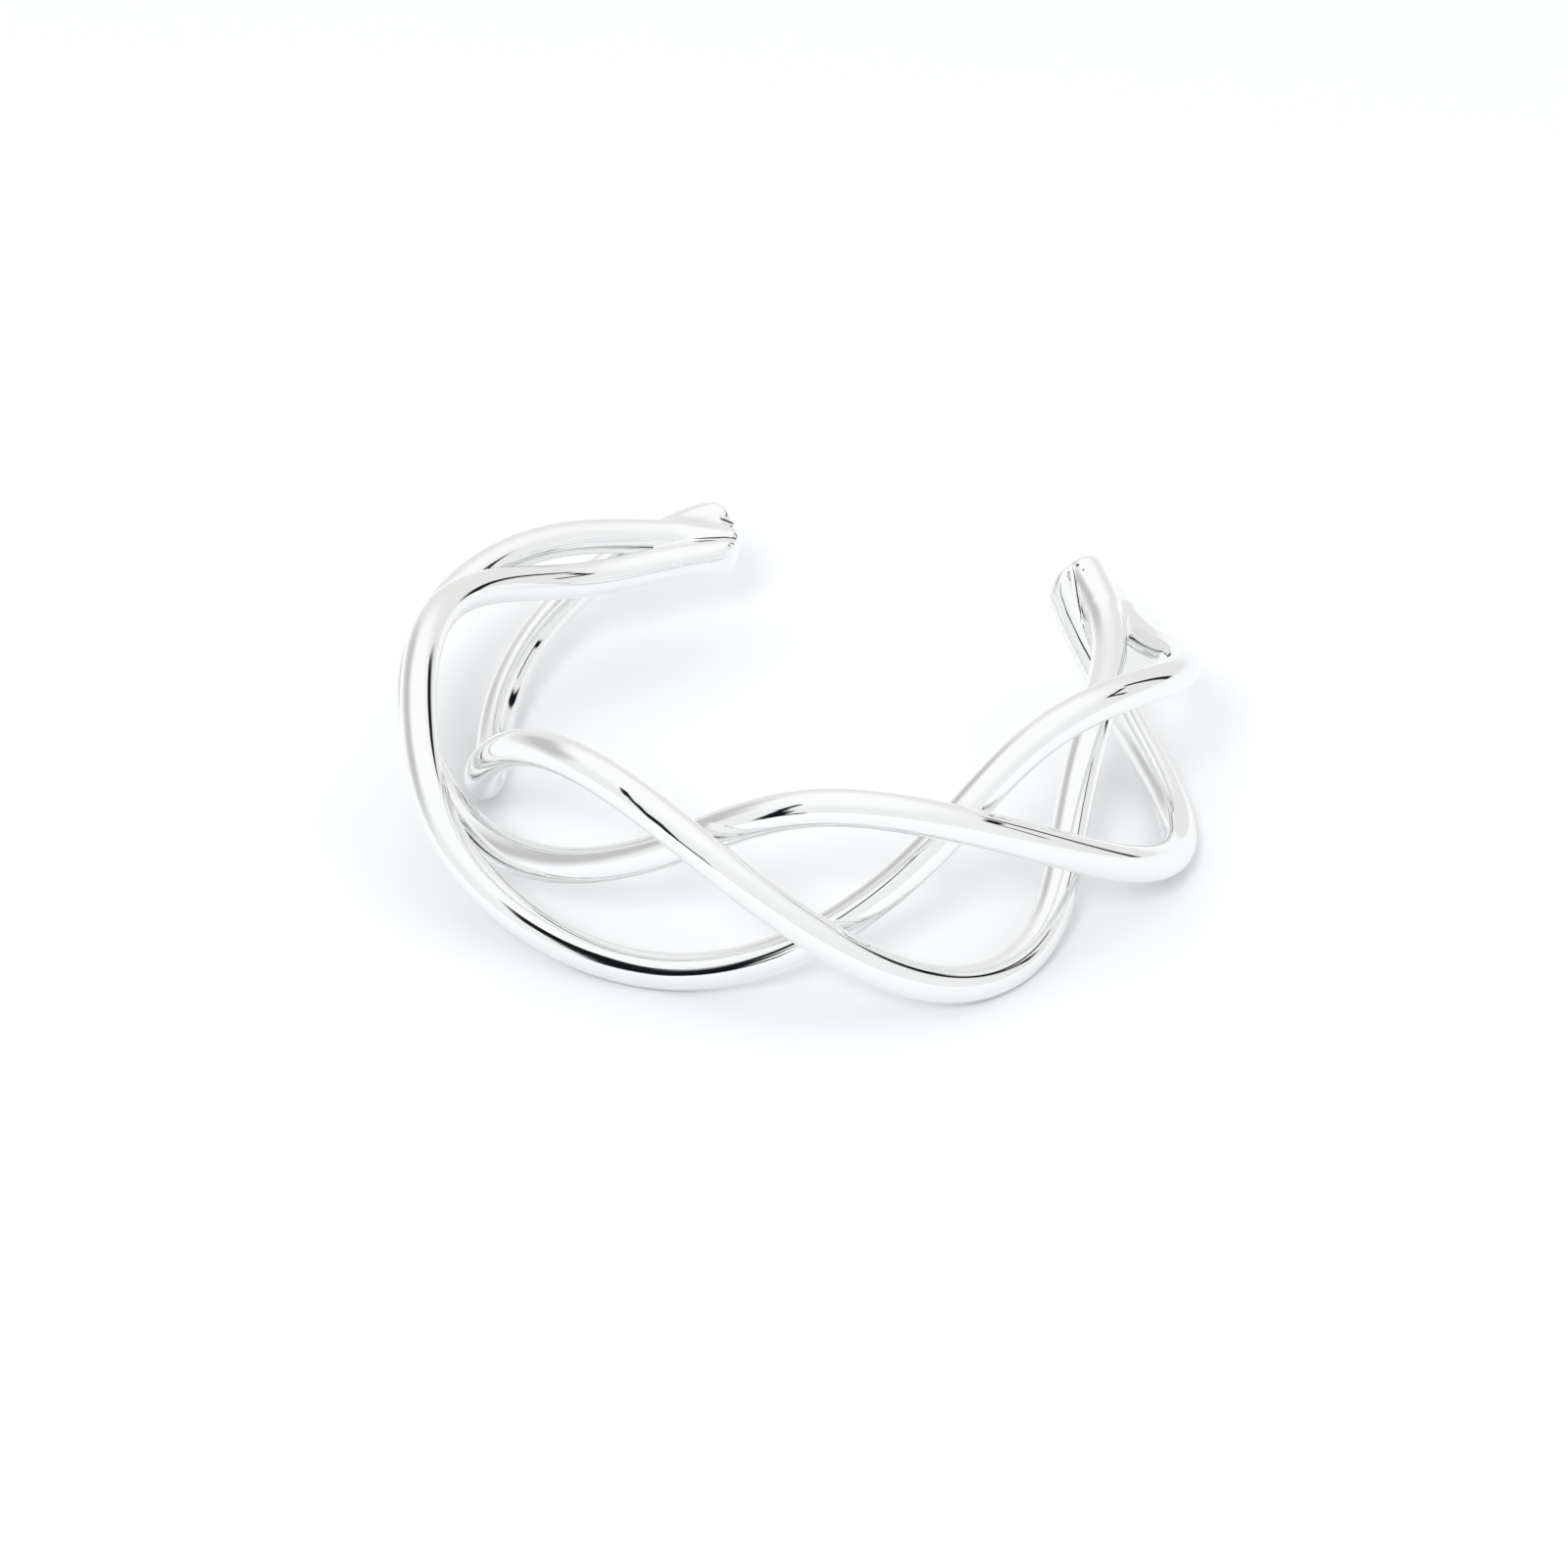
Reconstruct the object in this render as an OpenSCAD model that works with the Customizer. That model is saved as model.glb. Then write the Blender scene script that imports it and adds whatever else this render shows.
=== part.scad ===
// Open cuff bangle plaited from three round silver wires, soldered together at both ends.
// It lies on its side. Z is up, the mouth opens toward +Y, and the lowest crests lie on z = 0.

/* [Wire] */
// Diameter of each round wire, mm
wire_d = 3; // [2.6:0.1:3]
// Flats around a wire
wire_sides = 14; // [10:2:14]
// Rings along a wire
wire_rings = 120; // [90:10:130]

/* [Cuff] */
// Width of the cuff against the table below
cuff_scale = 1; // [1:0.01:1.1]
// Height of the band against the table below
band_scale = 1; // [1:0.01:1.1]

/* [Ends] */
// Angle at which the wires enter the soldered end on the left, degrees
left_cut = -135.5; // [-135.5:0.5:-134]
// Angle of the left tip, degrees
left_tip = -146.5; // [-148:0.5:-146]
// Angle at which the wires enter the soldered end on the right, degrees
right_cut = 133; // [131:0.5:133]
// Angle of the right tip, degrees
right_tip = 147; // [146:0.5:148]
// How far a filed tip bulges past the end of its wire, mm
tip_round = 1.3; // [0.8:0.1:1.5]
// Half the thickness of the solder between the wire ends, mm
solder_r = 0.9; // [0.8:0.1:1.1]
// Gap between a wire and the soldered end that it runs into, mm
seat_gap = 0.1; // [0.05:0.05:0.2]

/* [Hidden] */
// The three wires by station: angle about the axis (0 faces the front, + goes right),
// then for each wire its distance from the axis and the height of its centre above the lowest one.
// The wires are smooth curves that these points pull into shape.
ANGLE = 0;
RADIUS = [1, 3, 5];
HEIGHT = [2, 4, 6];
STATIONS = [
// angle  one: r, h    two: r, h    three: r, h
  [-180,  28.5,  6.0,  30.5, 10.0,  31.5, 11.5],
  [-160,  28.0,  8.0,  30.5,  8.0,  33.0, 11.0],
  [-140,  28.0,  8.5,  30.5,  9.0,  33.5,  8.5],
  [-120,  27.5,  8.5,  31.5, 12.0,  32.0,  4.5],
  [-100,  29.0, 12.5,  32.1, 12.0,  28.5,  1.0],
  [ -80,  30.0, 15.0,  32.0,  9.5,  25.0, -1.0],
  [ -60,  30.5, 11.5,  30.0,  5.5,  25.5,  4.0],
  [ -40,  32.0,  5.0,  28.0,  4.0,  27.0, 12.5],
  [ -20,  29.5,  0.5,  26.5,  5.5,  28.5, 18.5],
  [   0,  28.0, -0.6,  27.0, 10.5,  30.0, 16.5],
  [  20,  28.0,  2.5,  28.0, 17.0,  32.0,  8.5],
  [  40,  28.0,  9.0,  30.0, 16.0,  33.0,  0.5],
  [  60,  27.0, 17.5,  31.5, 10.5,  30.5, -0.8],
  [  80,  29.0, 19.0,  33.0,  3.5,  25.0,  4.0],
  [ 100,  32.0, 15.5,  32.5, -0.7,  24.0,  8.5],
  [ 120,  32.0, 11.0,  30.0,  0.5,  26.0,  9.5],
  [ 140,  31.0,  7.0,  27.5,  7.0,  30.0, 10.0],
  [ 160,  33.5, 14.5,  28.5, 18.5,  31.5, 15.5],
  [ 180,  34.0, 32.5,  29.5, 33.5,  32.0, 25.5]
];
ONE = 0;
TWO = 1;
THREE = 2;
WIRES = [ONE, TWO, THREE];

station_step = STATIONS[1][ANGLE] - STATIONS[0][ANGLE];
wire_r = wire_d / 2;
// The cuff's box is centred on the axis by this shift
center_x = -0.34;
center_y = 1.42;
// Lift that sets the lowest crest on the ground
ground_lift = 0.031;
// Step over which a wire's direction is measured, degrees
look = 0.05;
// Rings along a wire's last stretch and round its tip
end_rings = 6;
dome_rings = 4;
dome_turn = 75;
// The solder begins this share of the way from the cut to the tip
solder_start = 0.25;
solder_steps = 8;

silver = [0.83, 0.83, 0.82];

// Unit vector
function unit(v) = v / norm(v);
// Weights of four neighbouring stations for the place t between the middle two
function pull(t) = [
  pow(1 - t, 3) / 6,
  (3 * pow(t, 3) - 6 * pow(t, 2) + 4) / 6,
  (-3 * pow(t, 3) + 3 * pow(t, 2) + 3 * t + 1) / 6,
  pow(t, 3) / 6
];
// A column of the station table, read smoothly at an angle
function track(angle, column) =
  let (place = (angle - STATIONS[0][ANGLE]) / station_step, i = floor(place), w = pull(place - i))
  w[0] * STATIONS[i - 1][column] + w[1] * STATIONS[i][column]
  + w[2] * STATIONS[i + 1][column] + w[3] * STATIONS[i + 2][column];
// Centre of a wire at an angle, and the way that it runs there
function wire_at(wire, angle) =
  let (r = cuff_scale * track(angle, RADIUS[wire]))
  [
    center_x + r * sin(angle),
    center_y - r * cos(angle),
    wire_r + ground_lift + band_scale * track(angle, HEIGHT[wire])
  ];
function wire_way(wire, angle) = unit(wire_at(wire, angle + look) - wire_at(wire, angle - look));
// Middle of the three wires at an angle, and their common way
function middle(angle) = (wire_at(ONE, angle) + wire_at(TWO, angle) + wire_at(THREE, angle)) / 3;
function common_way(angle) =
  unit(wire_way(ONE, angle) + wire_way(TWO, angle) + wire_way(THREE, angle));
// A point slid along a direction onto a plane
function slid(point, way, on, normal) = point + way * (((on - point) * normal) / (way * normal));
// Level and rising directions across a way
function level_of(way) = unit(cross([0, 0, 1], way));
function rise_of(way) = cross(way, level_of(way));

// One ring of a wire
function wire_ring(wire, angle) =
  let (c = wire_at(wire, angle), way = wire_way(wire, angle), level = level_of(way), rise = rise_of(way))
  [for (k = [0 : wire_sides - 1])
    let (turn = 90 + 360 * k / wire_sides) c + wire_r * (cos(turn) * level + sin(turn) * rise)];
// The same ring, cut off flat where the soldered end begins
function cut_ring(wire, angle, back) =
  let (normal = common_way(angle), on = middle(angle) + back * normal, way = wire_way(wire, angle))
  [for (p = wire_ring(wire, angle)) slid(p, way, on, normal)];
// Triangles between rings of n points, with both ends closed by a middle point
function skin(n, rings) = concat(
  [for (i = [0 : rings - 2]) for (k = [0 : n - 1]) [i * n + k, (i + 1) * n + k, i * n + (k + 1) % n]],
  [for (i = [0 : rings - 2]) for (k = [0 : n - 1])
    [(i + 1) * n + k, (i + 1) * n + (k + 1) % n, i * n + (k + 1) % n]],
  [for (k = [0 : n - 1]) [rings * n, k, (k + 1) % n]],
  [for (k = [0 : n - 1]) [rings * n + 1, (rings - 1) * n + (k + 1) % n, (rings - 1) * n + k]]
);
function mean_of(points) = [for (p = points) 1] * points / len(points);
function joined(rings) = concat([for (ring = rings) each ring], [mean_of(rings[0]), mean_of(rings[len(rings) - 1])]);

// A swept round wire from one soldered end to the other
module strand(wire) {
  rings = [for (i = [0 : wire_rings])
    let (angle = left_cut + (right_cut - left_cut) * i / wire_rings)
    i == 0 ? cut_ring(wire, angle, 0)
    : i == wire_rings ? cut_ring(wire, angle, 0)
    : wire_ring(wire, angle)];
  polyhedron(points = joined(rings), faces = skin(wire_sides, wire_rings + 1), convexity = 10);
}

// Last stretch of a wire: from the flat cut to a tip that is filed round
module wire_end(wire, cut, tip, side) {
  run = [for (i = [0 : end_rings - 1])
    let (angle = cut + (tip - cut) * i / (end_rings - 1))
    i == 0 ? cut_ring(wire, angle, side * seat_gap) : wire_ring(wire, angle)];
  c = wire_at(wire, tip);
  way = wire_way(wire, tip);
  tip_ring = wire_ring(wire, tip);
  dome = [for (i = [1 : dome_rings])
    let (turn = dome_turn * i / dome_rings)
    [for (p = tip_ring) c + side * tip_round * sin(turn) * way + cos(turn) * (p - c)]];
  rings = concat(run, dome);
  ordered = side > 0 ? rings : [for (i = [len(rings) - 1 : -1 : 0]) rings[i]];
  polyhedron(points = joined(ordered), faces = skin(wire_sides, len(ordered)), convexity = 4);
}

// Solder that fills the hollow between the three wire ends
module solder(cut, tip) {
  start = cut + solder_start * (tip - cut);
  for (i = [0 : solder_steps - 1])
    hull()
      for (k = [i, i + 1])
        for (wire = WIRES)
          translate(wire_at(wire, start + (tip - start) * k / solder_steps))
            sphere(r = solder_r, $fn = 12);
}

// Three wire ends fused with solder: side is 1 where the wires run on to the right tip, else -1
module soldered_end(cut, tip, side) {
  union() {
    for (wire = WIRES) wire_end(wire, cut, tip, side);
    solder(cut, tip);
  }
}

// Wire that sweeps low at the front left and high at the front right
module strand_one() {
  color(silver) strand(ONE);
}

// Wire that runs high at the front and low at the right
module strand_two() {
  color(silver) strand(TWO);
}

// Wire that crosses the front from high left to low right and lies inside at both sides
module strand_three() {
  color(silver) strand(THREE);
}

// Left end of the cuff, soldered and filed round
module end_left() {
  color(silver) soldered_end(left_cut, left_tip, -1);
}

// Right end of the cuff, soldered and filed round
module end_right() {
  color(silver) soldered_end(right_cut, right_tip, 1);
}

strand_one();
strand_two();
strand_three();
end_left();
end_right();
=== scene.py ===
import math

import bmesh
import bpy
import numpy as np
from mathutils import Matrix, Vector


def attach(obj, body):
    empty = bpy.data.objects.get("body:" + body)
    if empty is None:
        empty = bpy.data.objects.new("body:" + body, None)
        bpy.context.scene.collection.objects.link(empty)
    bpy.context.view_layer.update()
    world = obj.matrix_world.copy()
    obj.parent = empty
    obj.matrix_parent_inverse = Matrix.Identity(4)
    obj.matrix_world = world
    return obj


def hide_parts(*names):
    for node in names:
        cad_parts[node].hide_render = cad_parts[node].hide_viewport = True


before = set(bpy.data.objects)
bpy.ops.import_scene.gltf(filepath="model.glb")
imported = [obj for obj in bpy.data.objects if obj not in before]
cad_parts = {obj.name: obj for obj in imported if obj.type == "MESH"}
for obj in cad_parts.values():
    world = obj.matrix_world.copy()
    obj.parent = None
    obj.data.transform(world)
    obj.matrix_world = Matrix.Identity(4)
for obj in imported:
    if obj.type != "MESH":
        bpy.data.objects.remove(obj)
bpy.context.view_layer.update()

# The three strands
# Round sterling silver wire, 3 mm thick, drawn through a die and annealed until it bends by hand.
# Each strand is bent round a mandrel and passes loosely over and under the other two. Only the
# soldered ends hold them together, so daylight shows between them all the way round.
MM = 0.001
WIRE_RADIUS = 1.5
WIRE_SIDES = 48
WIRE_RINGS = 560
# Where the strands run into each soldered end, in degrees round the cuff from its front. Each wire
# goes on for TUCK degrees under the skin of the end, a very little thinner there.
END_STARTS = {"left": -135.5, "right": 133.0}
TUCK = 3.0
TUCKED_RADIUS = 0.997
# How the wires lie, by angle round the cuff. Each wire has its distance from the axis and its
# height, in mm from the cuff's centre, and runs smoothly where these stations pull it.
CUFF_CENTRE = np.array([-0.34, 1.42, 1.531])
STATION_STEP = 20.0
STATIONS = np.array([
    # angle  one: out, up   two: out, up   three: out, up
    (-180, 28.5, 6.0, 30.5, 10.0, 31.5, 11.5),
    (-160, 28.0, 8.0, 30.5, 8.0, 33.0, 11.0),
    (-140, 28.0, 8.5, 30.5, 9.0, 33.5, 8.5),
    (-120, 27.5, 8.5, 31.5, 12.0, 32.0, 4.5),
    (-100, 29.0, 12.5, 32.1, 12.0, 28.5, 1.0),
    (-80, 30.0, 15.0, 32.0, 9.5, 25.0, -1.0),
    (-60, 30.5, 11.5, 30.0, 5.5, 25.5, 4.0),
    (-40, 32.0, 5.0, 28.0, 4.0, 27.0, 12.5),
    (-20, 29.5, 0.5, 26.5, 5.5, 28.5, 18.5),
    (0, 28.0, -0.6, 27.0, 10.5, 30.0, 16.5),
    (20, 28.0, 2.5, 28.0, 17.0, 32.0, 8.5),
    (40, 28.0, 9.0, 30.0, 16.0, 33.0, 0.5),
    (60, 27.0, 17.5, 31.5, 10.5, 30.5, -0.8),
    (80, 29.0, 19.0, 33.0, 3.5, 25.0, 4.0),
    (100, 32.0, 15.5, 32.5, -0.7, 24.0, 8.5),
    (120, 32.0, 11.0, 30.0, 0.5, 26.0, 9.5),
    (140, 31.0, 7.0, 27.5, 7.0, 30.0, 10.0),
    (160, 33.5, 14.5, 28.5, 18.5, 31.5, 15.5),
    (180, 34.0, 32.5, 29.5, 33.5, 32.0, 25.5),
])
STRANDS = ("strand_one", "strand_two", "strand_three")
# The finish, in mm: how long the die's lines are and how wide on the top and at the sides of the
# wire, how deep, how long and high the waves from bending are, and how wide the haze's patches are.
# The haze spans these shares of its noise and gives the wire these roughnesses.
DRAWN_SILVER = "#F6F7F7"
HAZE_SILVER = "#F2F3F3"
DIE_LINES = (50 / 3, 1 / 3, 1.0)
DIE_LINE_DEPTH = 0.0012
BEND_LENGTH = 6.25
BEND_HEIGHT = 0.010
HAZE_PATCH = 0.4
HAZE_SPAN = (0.35, 0.75)
WIRE_ROUGHNESS = (0.025, 0.07)


def wire_line(strand, angles):
    """Points on the middle of a wire, in mm, one for each angle round the cuff."""
    place = (np.asarray(angles) - STATIONS[0, 0]) / STATION_STEP
    first = np.floor(place).astype(int)
    t = place - first
    pulls = ((1 - t) ** 3, 3 * t**3 - 6 * t**2 + 4, -3 * t**3 + 3 * t**2 + 3 * t + 1, t**3)
    column = 1 + 2 * STRANDS.index(strand)
    stations = STATIONS[:, column:column + 2]
    out, up = sum(pull[:, None] / 6 * stations[first - 1 + k] for k, pull in enumerate(pulls)).T
    turn = np.radians(angles)
    return CUFF_CENTRE + np.stack([out * np.sin(turn), -out * np.cos(turn), up], 1)


def unit(v):
    """Vectors of length 1 in the same directions."""
    return v / np.linalg.norm(v, axis=-1, keepdims=True)


def way_of(line):
    """The direction that a wire runs in at each of its points."""
    return unit(np.gradient(line, axis=0))


def srgb(code):
    """A hex colour as the linear red, green, blue and alpha that Blender takes."""
    parts = [int(code[i:i + 2], 16) / 255 for i in (1, 3, 5)]
    return [c / 12.92 if c <= 0.04045 else ((c + 0.055) / 1.055) ** 2.4 for c in parts] + [1.0]


def shown(sockets, name):
    """A node's input or output by number, or by name, of the kind that the node is set to."""
    if isinstance(name, int):
        return sockets[name]
    return next(s for s in sockets if s.name == name and s.enabled)


def add(tree, kind, links=(), **settings):
    """A node with its settings. links gives what feeds its inputs: (input, node, output)."""
    node = tree.nodes.new(kind)
    for name, value in settings.items():
        if hasattr(node, name):
            setattr(node, name, value)
        else:
            shown(node.inputs, name.replace("_", " ")).default_value = value
    for socket, source, output in links:
        tree.links.new(shown(source.outputs, output), shown(node.inputs, socket))
    return node


def surface(name):
    """A new material and its node tree, still empty."""
    made = bpy.data.materials.new(name)
    made.use_nodes = True
    made.node_tree.nodes.clear()
    return made, made.node_tree


def polished_silver():
    """Sterling silver wire, mirror polished. The die leaves faint lines along the wire, the polish
    leaves a thin haze in patches, and bending by hand leaves a very slight waviness. Real die lines
    and haze are some hundredths of a millimetre wide and are drawn coarser here, so that they show."""
    material, tree = surface("polished sterling silver")
    place = add(tree, "ShaderNodeAttribute", attribute_name="along_and_round")
    drawn = add(tree, "ShaderNodeMapping", [("Vector", place, "Vector")],
                Scale=[1 / size for size in DIE_LINES])
    lines = add(tree, "ShaderNodeTexNoise", [("Vector", drawn, "Vector")], Scale=1.0, Detail=3.0)
    solid = add(tree, "ShaderNodeTexCoord")
    bends = add(tree, "ShaderNodeTexNoise", [("Vector", solid, "Object")],
                Scale=1 / (BEND_LENGTH * MM), Detail=1.0)
    fine = add(tree, "ShaderNodeTexNoise", [("Vector", solid, "Object")],
               Scale=1 / (HAZE_PATCH * MM), Detail=4.0)
    waves = add(tree, "ShaderNodeBump", [("Height", bends, "Fac")],
                Strength=1.0, Distance=BEND_HEIGHT * MM)
    scores = add(tree, "ShaderNodeBump", [("Height", lines, "Fac"), ("Normal", waves, "Normal")],
                 Strength=1.0, Distance=DIE_LINE_DEPTH * MM)
    haze = add(tree, "ShaderNodeMapRange", [("Value", fine, "Fac")],
               From_Min=HAZE_SPAN[0], From_Max=HAZE_SPAN[1],
               To_Min=WIRE_ROUGHNESS[0], To_Max=WIRE_ROUGHNESS[1])
    tint = add(tree, "ShaderNodeMix", [("Factor", lines, "Fac")],
               data_type="RGBA", A=srgb(DRAWN_SILVER), B=srgb(HAZE_SILVER))
    shader = add(tree, "ShaderNodeBsdfPrincipled", [
        ("Base Color", tint, "Result"),
        ("Roughness", haze, "Result"),
        ("Normal", scores, "Normal"),
    ], Metallic=1.0)
    add(tree, "ShaderNodeOutputMaterial", [("Surface", shader, "BSDF")])
    return material


def piece(name, points, faces, material):
    """A new object from points in mm and faces, shaded smooth."""
    mesh = bpy.data.meshes.new(name)
    mesh.from_pydata((np.asarray(points) * MM).tolist(), [], [list(f) for f in faces])
    mesh.shade_smooth()
    mesh.materials.append(material)
    made = bpy.data.objects.new(name, mesh)
    bpy.context.scene.collection.objects.link(made)
    return made


def round_wire(name, line, radii, material):
    """A closed round wire along a line, with the distance along it and round it kept for its finish."""
    way = way_of(line)
    level = unit(np.cross((0, 0, 1), way))
    rise = np.cross(way, level)
    turn = np.linspace(0, 2 * math.pi, WIRE_SIDES, endpoint=False)
    across = np.cos(turn)[:, None, None] * level + np.sin(turn)[:, None, None] * rise
    rings = (line + radii[:, None] * across).transpose(1, 0, 2)
    count = len(line)
    corner = np.arange(count * WIRE_SIDES).reshape(count, WIRE_SIDES)
    following = np.roll(corner, -1, axis=1)
    sides = np.stack([corner[:-1], following[:-1], following[1:], corner[1:]], -1).reshape(-1, 4)
    caps = [corner[0][::-1], corner[-1]]
    made = piece(name, rings.reshape(-1, 3), sides.tolist() + [c.tolist() for c in caps], material)
    along = np.concatenate([[0], np.cumsum(np.linalg.norm(np.diff(line, axis=0), axis=1))])
    place = np.zeros((count, WIRE_SIDES, 3), np.float32)
    place[..., 0] = along[:, None]
    place[..., 1] = WIRE_RADIUS * np.cos(turn)
    place[..., 2] = WIRE_RADIUS * np.sin(turn)
    kept = made.data.attributes.new("along_and_round", "FLOAT_VECTOR", "POINT")
    kept.data.foreach_set("vector", place.ravel())
    return made


SILVER = polished_silver()

for strand in STRANDS:
    low = END_STARTS["left"] - TUCK
    high = END_STARTS["right"] + TUCK
    angles = np.linspace(low, high, WIRE_RINGS)
    from_end = np.minimum(angles - low, high - angles)
    radii = WIRE_RADIUS * np.interp(from_end, (TUCK, 2 * TUCK), (TUCKED_RADIUS, 1.0))
    wire = round_wire(strand + "_wire", wire_line(strand, angles), radii, SILVER)
    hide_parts(strand)
    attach(wire, "root")

# The two soldered ends
# At each end the three wires lie side by side. Silver solder is drawn into the grooves between
# them, and the tips are filed round and polished with the rest, so each end is one piece of metal.
ENDS = {
    # wires: their order across the end. solder: for each of the two grooves, the solder's radius
    # at the start, at its most and at the tip. filed_from and filed_length: where the filed round
    # begins, in degrees, and how long it is. lean: how far the middle wire leans on the first one.
    "left": {
        "wires": ("strand_one", "strand_two", "strand_three"),
        "solder": ((0.4, 0.8, 0.8), (0.6, 1.4, 0.9)),
        "filed_from": -142.4,
        "filed_length": 4.4,
        "lean": 0.9,
    },
    "right": {
        "wires": ("strand_two", "strand_three", "strand_one"),
        "solder": ((0.4, 0.8, 1.45), (0.6, 1.65, 1.6)),
        "filed_from": 144.2,
        "filed_length": 3.0,
        "lean": 0.0,
    },
}
# Places along an end are shares of its length, 0 where it begins and 1 at its tip. The solder has
# its first radius at the first of these, its most from the second to the third, and its last at
# the fourth. The fillets between the wires grow from the first to the second.
SOLDER_PLACES = (0.1, 0.5, 0.84, 0.93)
LEAN_PLACES = (0.32, 0.85)
FILLET_AT_START = 0.05
FILLET = 0.45
# The wires' lines begin this share of the end's length before the cut, and a degree round the
# cuff is about this long in mm.
BEFORE_CUT = 0.15
DEGREE_LENGTH = 0.52
LINE_POINTS = 60
LOOK_AHEAD = 0.05
# The filed round is wider than the wires by its spare, opens by its flare behind the place where
# it begins, so that it files nothing there, and meets the wires in a rounded edge.
FILED_SPARE = 0.3
FILED_FLARE = 0.15
FILED_EDGE = 0.9
# How finely the skin is made: the grid's step and margin in mm, the number of blocks that it is
# measured in to spare memory, and the rounds that bring points onto the metal.
GRID_STEP = 0.16
GRID_MARGIN = 1.9
GRID_BLOCKS = 20
SLOPE_STEP = 0.001
SKIN_ROUNDS = 5
LINE_ROUNDS = 3
# The file's waves, in mm, how long and how high they are, and the roughnesses that they leave.
FILE_WAVE_LENGTH = 3.846
FILE_WAVE_HEIGHT = 0.025
END_ROUGHNESS = (0.03, 0.09)
# Two pits in the solder of the right end, not made as holes: their places and radii, in mm. A
# dark spot of painted shade stands in for each pit, fading out between these shares of its radius.
PITS = ((16.25, 25.48, 14.76, 0.21), (16.89, 25.13, 14.59, 0.15))
PIT_EDGE = (0.6, 1.2)
PIT_PAINTED_SHADE = "#3A3936"


def soft_min(a, b, blend):
    """The smaller of two distances, with the crease between them rounded."""
    share = np.maximum(blend - np.abs(a - b), 0) / blend
    return np.minimum(a, b) - share**2 * blend / 4


def near_line(points, line):
    """How far each point is from a smooth line through evenly spaced points, and the place along
    the line that it is nearest to, 0 to 1."""
    last = len(line) - 1
    spread = np.sum(line**2, 1) - 2 * points @ line.T
    nearest = np.clip(np.argmin(spread, 1), 1, last - 1)
    slope = (line[nearest + 1] - line[nearest - 1]) / 2
    bend = line[nearest + 1] - 2 * line[nearest] + line[nearest - 1]
    steep = np.sum(slope**2, 1, keepdims=True)
    step = np.zeros((len(points), 1))
    for _ in range(LINE_ROUNDS):
        gap = points - line[nearest] - step * slope - step**2 / 2 * bend
        step = step + np.sum(gap * (slope + step * bend), 1, keepdims=True) / steep
        step = np.clip(step, -nearest[:, None], last - nearest[:, None])
    gap = points - line[nearest] - step * slope - step**2 / 2 * bend
    return np.linalg.norm(gap, axis=1), (nearest + step[:, 0]) / last


def near_bar(points, a, b):
    """Distance from each point to its own bar from a to b."""
    bar = b - a
    share = np.clip(np.sum((points - a) * bar, 1) / np.sum(bar * bar, 1), 0, 1)
    return np.linalg.norm(points - a - share[:, None] * bar, axis=1)


def point_at(line, place):
    """Points on a line at places along it, 0 to 1."""
    steps = np.linspace(0, 1, len(line))
    return np.stack([np.interp(place, steps, line[:, k]) for k in range(3)], 1)


def wires_at(wires, angle):
    """Where an end's wires are at an angle, and the way that they run there, toward the tip."""
    ahead = angle + LOOK_AHEAD * np.sign(angle)
    here = np.concatenate([wire_line(wire, np.array([angle])) for wire in wires])
    there = np.concatenate([wire_line(wire, np.array([ahead])) for wire in wires])
    return here, unit(np.mean(unit(there - here), axis=0))


def filed_round(end):
    """How far a point is outside the file's rounding of the tip, less than 0 on the metal's side."""
    here, way = wires_at(end["wires"], end["filed_from"])
    width = here[2] - here[0]
    width = width - width @ way * way
    half = np.linalg.norm(width) / 2 + WIRE_RADIUS + FILED_SPARE
    middle = (here[0] + here[2]) / 2

    def distance(points):
        ahead = (points - middle) @ way
        aside = (points - middle) @ unit(width)
        room = half + FILED_FLARE * np.minimum(ahead, 0)**2
        return half * (np.hypot(np.maximum(ahead, 0) / end["filed_length"], aside / room) - 1)

    return distance


def soldered_metal(end, lines):
    """How far a point is outside the soldered wires, less than 0 within the metal."""
    middle = sum(lines) / 3
    file = filed_round(end)

    def distance(points):
        place = near_line(points, middle)[1]
        at = [point_at(line, place) for line in lines]
        blend = np.interp(place, SOLDER_PLACES[:2], (FILLET_AT_START, FILLET))
        metal = near_line(points, lines[0])[0] - WIRE_RADIUS
        for line in lines[1:]:
            metal = soft_min(metal, near_line(points, line)[0] - WIRE_RADIUS, blend)
        for k, (first, most, last) in enumerate(end["solder"]):
            filled = np.interp(place, SOLDER_PLACES, (first, most, most, last))
            metal = soft_min(metal, near_bar(points, at[k], at[k + 1]) - filled, blend)
        return -soft_min(-metal, -file(points), FILED_EDGE)

    return distance


def outward(distance, points):
    """The direction in which the distance grows fastest, by small steps along each axis."""
    slope = [distance(points + SLOPE_STEP * axis) - distance(points - SLOPE_STEP * axis)
             for axis in np.eye(3)]
    return np.stack(slope, 1) / (2 * SLOPE_STEP)


def onto(distance, points, rounds):
    """The points brought onto the surface where the distance is 0."""
    for _ in range(rounds):
        slope = outward(distance, points)
        points = points - distance(points)[:, None] * slope / np.sum(slope**2, 1, keepdims=True)
    return points


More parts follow.
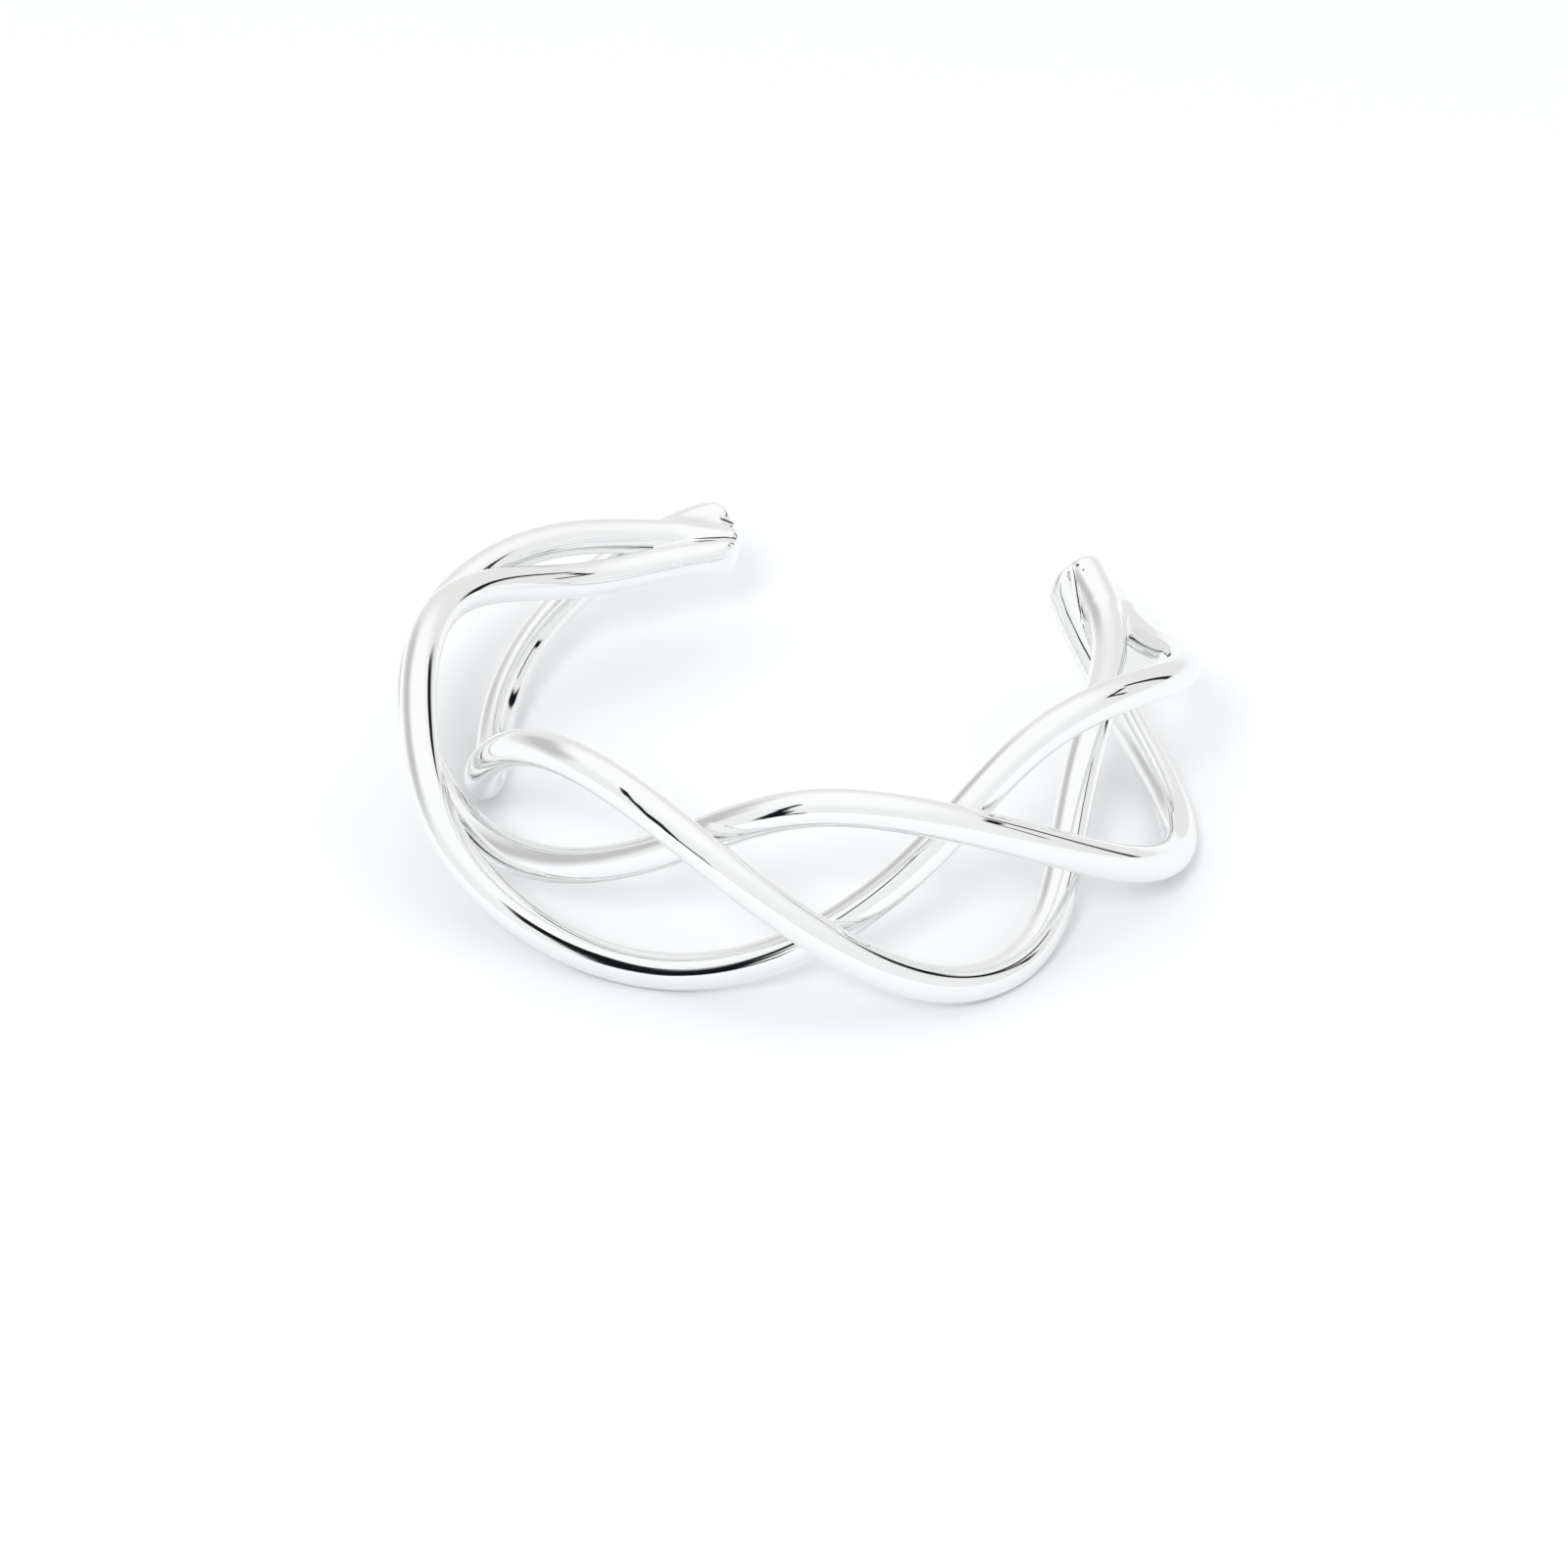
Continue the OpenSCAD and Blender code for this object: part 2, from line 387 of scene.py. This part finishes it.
def rough_skin(distance, low, high):
    """Points and four-sided faces of the grid's cells that the surface passes through."""
    axes = [np.arange(low[k], high[k] + GRID_STEP, GRID_STEP) for k in range(3)]
    grid = np.stack(np.meshgrid(*axes, indexing="ij"), -1)
    blocks = np.array_split(grid.reshape(-1, 3), GRID_BLOCKS)
    inside = (np.concatenate([distance(b) for b in blocks]) < 0).reshape(grid.shape[:3])
    n = inside.shape
    corners = sum(
        inside[i:n[0] - 1 + i, j:n[1] - 1 + j, k:n[2] - 1 + k].astype(int)
        for i in (0, 1) for j in (0, 1) for k in (0, 1)
    )
    mixed = (corners > 0) & (corners < 8)
    number = np.full(mixed.shape, -1)
    number[mixed] = np.arange(mixed.sum())
    points = grid[:-1, :-1, :-1][mixed] + GRID_STEP / 2
    faces = []
    for axis in range(3):
        one, two = np.eye(3, dtype=int)[[axis - 2, axis - 1]]
        along = np.moveaxis(inside, axis, 0)
        crossing = np.moveaxis(along[:-1] != along[1:], 0, axis)
        leaving = np.moveaxis(along[:-1], 0, axis)
        for at in np.argwhere(crossing):
            ring = [at, at - one, at - one - two, at - two]
            if min(np.min(r) for r in ring) < 0 or any((r >= mixed.shape).any() for r in ring):
                continue
            face = [number[tuple(r)] for r in ring]
            faces.append(face[::-1] if leaving[tuple(at)] else face)
    return points, faces


def soldered_silver():
    """The same silver where it was soldered and filed: a little wavier, with dark spots of painted
    shade standing in for two pits of the solder. The haze is drawn as coarse as on the wire."""
    material, tree = surface("soldered and filed silver")
    solid = add(tree, "ShaderNodeTexCoord")
    filed = add(tree, "ShaderNodeTexNoise", [("Vector", solid, "Object")],
                Scale=1 / (FILE_WAVE_LENGTH * MM), Detail=2.0)
    fine = add(tree, "ShaderNodeTexNoise", [("Vector", solid, "Object")],
               Scale=1 / (HAZE_PATCH * MM), Detail=4.0)
    waves = add(tree, "ShaderNodeBump", [("Height", filed, "Fac")],
                Strength=1.0, Distance=FILE_WAVE_HEIGHT * MM)
    haze = add(tree, "ShaderNodeMapRange", [("Value", fine, "Fac")],
               From_Min=HAZE_SPAN[0], From_Max=HAZE_SPAN[1],
               To_Min=END_ROUGHNESS[0], To_Max=END_ROUGHNESS[1])
    tint = add(tree, "ShaderNodeMix", [("Factor", fine, "Fac")],
               data_type="RGBA", A=srgb(DRAWN_SILVER), B=srgb(HAZE_SILVER))
    # Painted shade: a dark spot at each of the two pits, mixed into the silver's tint.
    pits = []
    for x, y, z, radius in PITS:
        away = add(tree, "ShaderNodeVectorMath", [("Vector", solid, "Object")], operation="DISTANCE")
        away.inputs[1].default_value = (x * MM, y * MM, z * MM)
        pits.append(add(tree, "ShaderNodeMapRange", [("Value", away, "Value")],
                        interpolation_type="SMOOTHSTEP", From_Min=radius * MM * PIT_EDGE[0],
                        From_Max=radius * MM * PIT_EDGE[1], To_Min=1.0, To_Max=0.0))
    dark = add(tree, "ShaderNodeMath", [(0, pits[0], "Result"), (1, pits[1], "Result")],
               operation="MAXIMUM")
    painted_shade = add(tree, "ShaderNodeMix", [("Factor", dark, 0), ("A", tint, "Result")],
                data_type="RGBA", B=srgb(PIT_PAINTED_SHADE))
    shader = add(tree, "ShaderNodeBsdfPrincipled", [
        ("Base Color", painted_shade, "Result"),
        ("Roughness", haze, "Result"),
        ("Normal", waves, "Normal"),
    ], Metallic=1.0)
    add(tree, "ShaderNodeOutputMaterial", [("Surface", shader, "BSDF")])
    return material


def soldered_end(side):
    """One soldered end, cut square where the strands begin, with its wires' lines and the distance
    that its skin was made from."""
    end = ENDS[side]
    cut = END_STARTS[side]
    tip = end["filed_from"] + end["filed_length"] / DEGREE_LENGTH * np.sign(cut)
    angles = np.linspace(cut - BEFORE_CUT * (tip - cut), tip, LINE_POINTS)
    lines = [wire_line(strand, angles) for strand in end["wires"]]
    lean_from, lean_to = LEAN_PLACES
    place = np.linspace(0, 1, LINE_POINTS)
    share = np.clip((place - lean_from) / (lean_to - lean_from), 0, 1)[:, None]
    lines[1] = lines[1] + end["lean"] * share**2 * (3 - 2 * share) * unit(lines[0] - lines[1])
    distance = soldered_metal(end, lines)
    every = np.concatenate(lines)
    points, faces = rough_skin(distance, every.min(0) - GRID_MARGIN, every.max(0) + GRID_MARGIN)
    points = onto(distance, points, SKIN_ROUNDS)
    made = piece("end_" + side + "_fused", points, faces, SOLDERED_SILVER)
    here, way = wires_at(end["wires"], cut)
    work = bmesh.new()
    work.from_mesh(made.data)
    cut_edges = bmesh.ops.bisect_plane(
        work, geom=work.verts[:] + work.edges[:] + work.faces[:],
        plane_co=Vector(here.mean(0) * MM), plane_no=Vector(way), clear_inner=True)["geom_cut"]
    bmesh.ops.holes_fill(work, edges=[e for e in cut_edges if isinstance(e, bmesh.types.BMEdge)])
    bmesh.ops.recalc_face_normals(work, faces=work.faces)
    work.to_mesh(made.data)
    work.free()
    skin = np.array([v.co for v in made.data.vertices]) / MM
    made.data.normals_split_custom_set_from_vertices(unit(outward(distance, skin)).tolist())
    return made, lines, distance


SOLDERED_SILVER = soldered_silver()
soldered = {}

for side in ENDS:
    end, lines, distance = soldered_end(side)
    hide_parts("end_" + side)
    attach(end, "root")
    soldered[side] = (lines, distance)

# The painted crease shade
# Thin dark lines along the bottom of the grooves in both ends. They are painted shade, standing in
# for the shade that falls into the narrow grooves. Each groove has one on either face of the end.
PAINTED_CREASE_LINES = (
    # end, which groove, from and to along the end, thickness in mm
    ("left", 0, 0.50, 0.99, 0.13),
    ("left", 1, 0.84, 0.99, 0.18),
    ("right", 0, 0.46, 0.88, 0.12),
)
FACES = {"a": -1, "b": 1}
# Each line thins toward both of its ends, to this share of its thickness.
TAPER_LEAST = 0.1
GROOVE_ROUNDS = 8
# Colours of the painted crease shade: near black, patchy with grey.
CREASE_SHADE_BLACK = "#1F1E1C"
CREASE_SHADE_GREY = "#5A5853"
CREASE_SHADE_PATCH = 2 / 3
CREASE_SHADE_ROUGHNESS = 0.5


def groove_line(distance, one, two, low, high, face):
    """The bottom of the groove between two neighbouring wires, on one face of the end."""
    a, b = [point_at(line, np.linspace(low, high, LINE_POINTS)) for line in (one, two)]
    middle = (a + b) / 2
    over = face * WIRE_RADIUS * unit(np.cross(way_of(middle), b - a))
    return onto(distance, middle + over, GROOVE_ROUNDS)


def crease_shade_material():
    """Painted shade for the bottom of the grooves: near black, dull and a little patchy. The patches
    are coarser than a line is thick, so that they show."""
    material, tree = surface("painted crease shade")
    solid = add(tree, "ShaderNodeTexCoord")
    patchy = add(tree, "ShaderNodeTexNoise", [("Vector", solid, "Object")],
                 Scale=1 / (CREASE_SHADE_PATCH * MM), Detail=3.0)
    tint = add(tree, "ShaderNodeMix", [("Factor", patchy, "Fac")],
               data_type="RGBA", A=srgb(CREASE_SHADE_BLACK), B=srgb(CREASE_SHADE_GREY))
    shader = add(tree, "ShaderNodeBsdfPrincipled", [("Base Color", tint, "Result")],
                 Roughness=CREASE_SHADE_ROUGHNESS)
    add(tree, "ShaderNodeOutputMaterial", [("Surface", shader, "BSDF")])
    return material


PAINTED_CREASE_SHADE = crease_shade_material()

# Each groove gets a thin dark tube of painted shade on both faces of the end.
for side, groove, low, high, thickness in PAINTED_CREASE_LINES:
    lines, distance = soldered[side]
    for letter, face in FACES.items():
        path = groove_line(distance, lines[groove], lines[groove + 1], low, high, face)
        taper = np.maximum(np.sin(np.linspace(0, math.pi, LINE_POINTS)) ** 0.5, TAPER_LEAST)
        name = "end_%s_oxide_%d_%s" % (side, groove, letter)
        dark_line = round_wire(name, path, thickness / 2 * taper, PAINTED_CREASE_SHADE)
        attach(dark_line, "root")

# Floor
# A plain table top of white laminate, pressed and matt, that the cuff lies on. It is wide enough
# that the silver mirrors nothing but table below the horizon.
TABLE_WHITE = "#F8FAFB"
TABLE_HALF = 3000
table, table_tree = surface("white table laminate")
matt = add(table_tree, "ShaderNodeBsdfDiffuse", Color=srgb(TABLE_WHITE))
add(table_tree, "ShaderNodeOutputMaterial", [("Surface", matt, "BSDF")])
corners = [(x * TABLE_HALF, y * TABLE_HALF, 0) for x, y in ((-1, -1), (1, -1), (1, 1), (-1, 1))]
floor = piece("floor", corners, [(0, 1, 2, 3)], table)

# Light
# White boards stand round the table and a diffuser hangs over it. The gaps between the boards show
# the dark room, and polished silver draws them as crisp black lines. A soft key lamp stands above
# the front, and its shadow falls behind the wires.
BOARD_FRONT = "#F1F2F3"
BOARD_BACK = "#EAEAE8"
DIFFUSER = "#FFFFFF"
SIDE_SHADE = "#C6C6C5"
DARK_ROOM = "#15171A"
BOARD_STRENGTH = 1.06
# The front boards turn into the back boards between these shares of the way to the back, and the
# boards turn into the diffuser between these elevations, in degrees.
BACK_BOARDS = (-0.1, 0.6)
OVERHEAD = (25.0, 60.0)
SHADES = (
    # middle, width, bottom, top, soft edge, what shows there: in degrees, 0 is the front, + right
    (-97, 60, 8, 42, 24, SIDE_SHADE),
    (-6, 18, -5, 6, 3, DARK_ROOM),
    (-13, 14, 4, 22, 3, DARK_ROOM),
    (-17, 8, 20, 32, 3, DARK_ROOM),
    (-20, 8, 30, 52, 3, DARK_ROOM),
    (118, 4, 16, 32, 2, DARK_ROOM),
    (126, 20, 31, 36, 2, DARK_ROOM),
    (144, 7, -5, 35, 3, DARK_ROOM),
)
KEY_AZIMUTH = 8.5
KEY_ELEVATION = 38
KEY_DISTANCE = 0.9
KEY_SIZE = 0.2
KEY_POWER = 2.3


def between(tree, value, low, high, edge):
    """1 where a value lies between two others and 0 elsewhere, with soft edges."""
    rise = add(tree, "ShaderNodeMapRange", [("Value", value, 0)], interpolation_type="SMOOTHSTEP",
               From_Min=low - edge / 2, From_Max=low + edge / 2)
    fall = add(tree, "ShaderNodeMapRange", [("Value", value, 0)], interpolation_type="SMOOTHSTEP",
               From_Min=high - edge / 2, From_Max=high + edge / 2, To_Min=1.0, To_Max=0.0)
    return add(tree, "ShaderNodeMath", [(0, rise, 0), (1, fall, 0)], operation="MULTIPLY")


def way_to(azimuth, elevation):
    """The direction of a place round the table, by its angle from the front and its elevation."""
    azimuth = math.radians(azimuth)
    elevation = math.radians(elevation)
    level = math.cos(elevation)
    return Vector((math.sin(azimuth) * level, -math.cos(azimuth) * level, math.sin(elevation)))


world = bpy.data.worlds.new("white boards")
bpy.context.scene.world = world
world.use_nodes = True
sky = world.node_tree
sky.nodes.clear()
seen = add(sky, "ShaderNodeTexCoord")
parts = add(sky, "ShaderNodeSeparateXYZ", [("Vector", seen, "Generated")])
rising = add(sky, "ShaderNodeMath", [(0, parts, "Z")], operation="ARCSINE")
elevation = add(sky, "ShaderNodeMath", [(0, rising, 0)], operation="DEGREES")
forward = add(sky, "ShaderNodeMath", [(0, parts, "Y")], operation="MULTIPLY")
forward.inputs[1].default_value = -1.0
turned = add(sky, "ShaderNodeMath", [(0, parts, "X"), (1, forward, 0)], operation="ARCTAN2")
azimuth = add(sky, "ShaderNodeMath", [(0, turned, 0)], operation="DEGREES")
behind = add(sky, "ShaderNodeMapRange", [("Value", parts, "Y")], interpolation_type="SMOOTHSTEP",
             From_Min=BACK_BOARDS[0], From_Max=BACK_BOARDS[1])
walls = add(sky, "ShaderNodeMix", [("Factor", behind, "Result")],
            data_type="RGBA", A=srgb(BOARD_FRONT), B=srgb(BOARD_BACK))
overhead = add(sky, "ShaderNodeMapRange", [("Value", elevation, 0)], interpolation_type="SMOOTHSTEP",
               From_Min=OVERHEAD[0], From_Max=OVERHEAD[1])
around = add(sky, "ShaderNodeMix", [("Factor", overhead, "Result"), ("A", walls, "Result")],
             data_type="RGBA", B=srgb(DIFFUSER))
for middle, width, bottom, top, edge, colour in SHADES:
    aside = between(sky, azimuth, middle - width / 2, middle + width / 2, edge)
    above = between(sky, elevation, bottom, top, edge)
    gap = add(sky, "ShaderNodeMath", [(0, aside, 0), (1, above, 0)], operation="MULTIPLY")
    around = add(sky, "ShaderNodeMix", [("Factor", gap, 0), ("A", around, "Result")],
                 data_type="RGBA", B=srgb(colour))
boards = add(sky, "ShaderNodeBackground", [("Color", around, "Result")], Strength=BOARD_STRENGTH)
add(sky, "ShaderNodeOutputWorld", [("Surface", boards, "Background")])

key = bpy.data.objects.new("key", bpy.data.lights.new("key", "AREA"))
key.data.shape = "DISK"
key.data.size = KEY_SIZE
key.data.energy = KEY_POWER
key_way = way_to(KEY_AZIMUTH, KEY_ELEVATION)
key.location = key_way * KEY_DISTANCE
key.rotation_euler = key_way.to_track_quat("Z", "Y").to_euler()
# The lamp lights the table and the silver, but the silver doesn't mirror it.
key.visible_glossy = False
bpy.context.scene.collection.objects.link(key)

# Camera
# It stands a little to the right of the front and looks down at the cuff lying on the table, at
# the angle of the picture. Its lens, distance and shift frame the cuff as the picture does.
CAMERA_AZIMUTH = 20.57
CAMERA_ELEVATION = 29.81
CAMERA_DISTANCE = 469.0
AIM = Vector((-0.34, 1.42, 9.03))
LENS = 131.2
SENSOR = 36.0
PICTURE_WIDTH = 1600
SHIFT_RIGHT = -8
SHIFT_UP = -63
camera = bpy.data.objects.new("camera", bpy.data.cameras.new("camera"))
bpy.context.scene.collection.objects.link(camera)
camera_way = way_to(CAMERA_AZIMUTH, CAMERA_ELEVATION)
camera.location = (AIM + camera_way * CAMERA_DISTANCE) * MM
camera.rotation_euler = (-camera_way).to_track_quat("-Z", "Y").to_euler()
camera.data.sensor_width = SENSOR
camera.data.lens = LENS
camera.data.shift_x = SHIFT_RIGHT / PICTURE_WIDTH
camera.data.shift_y = SHIFT_UP / PICTURE_WIDTH
camera.data.clip_start = 0.01
camera.data.clip_end = 20.0
bpy.context.scene.camera = camera
bpy.context.scene.view_settings.view_transform = "Standard"
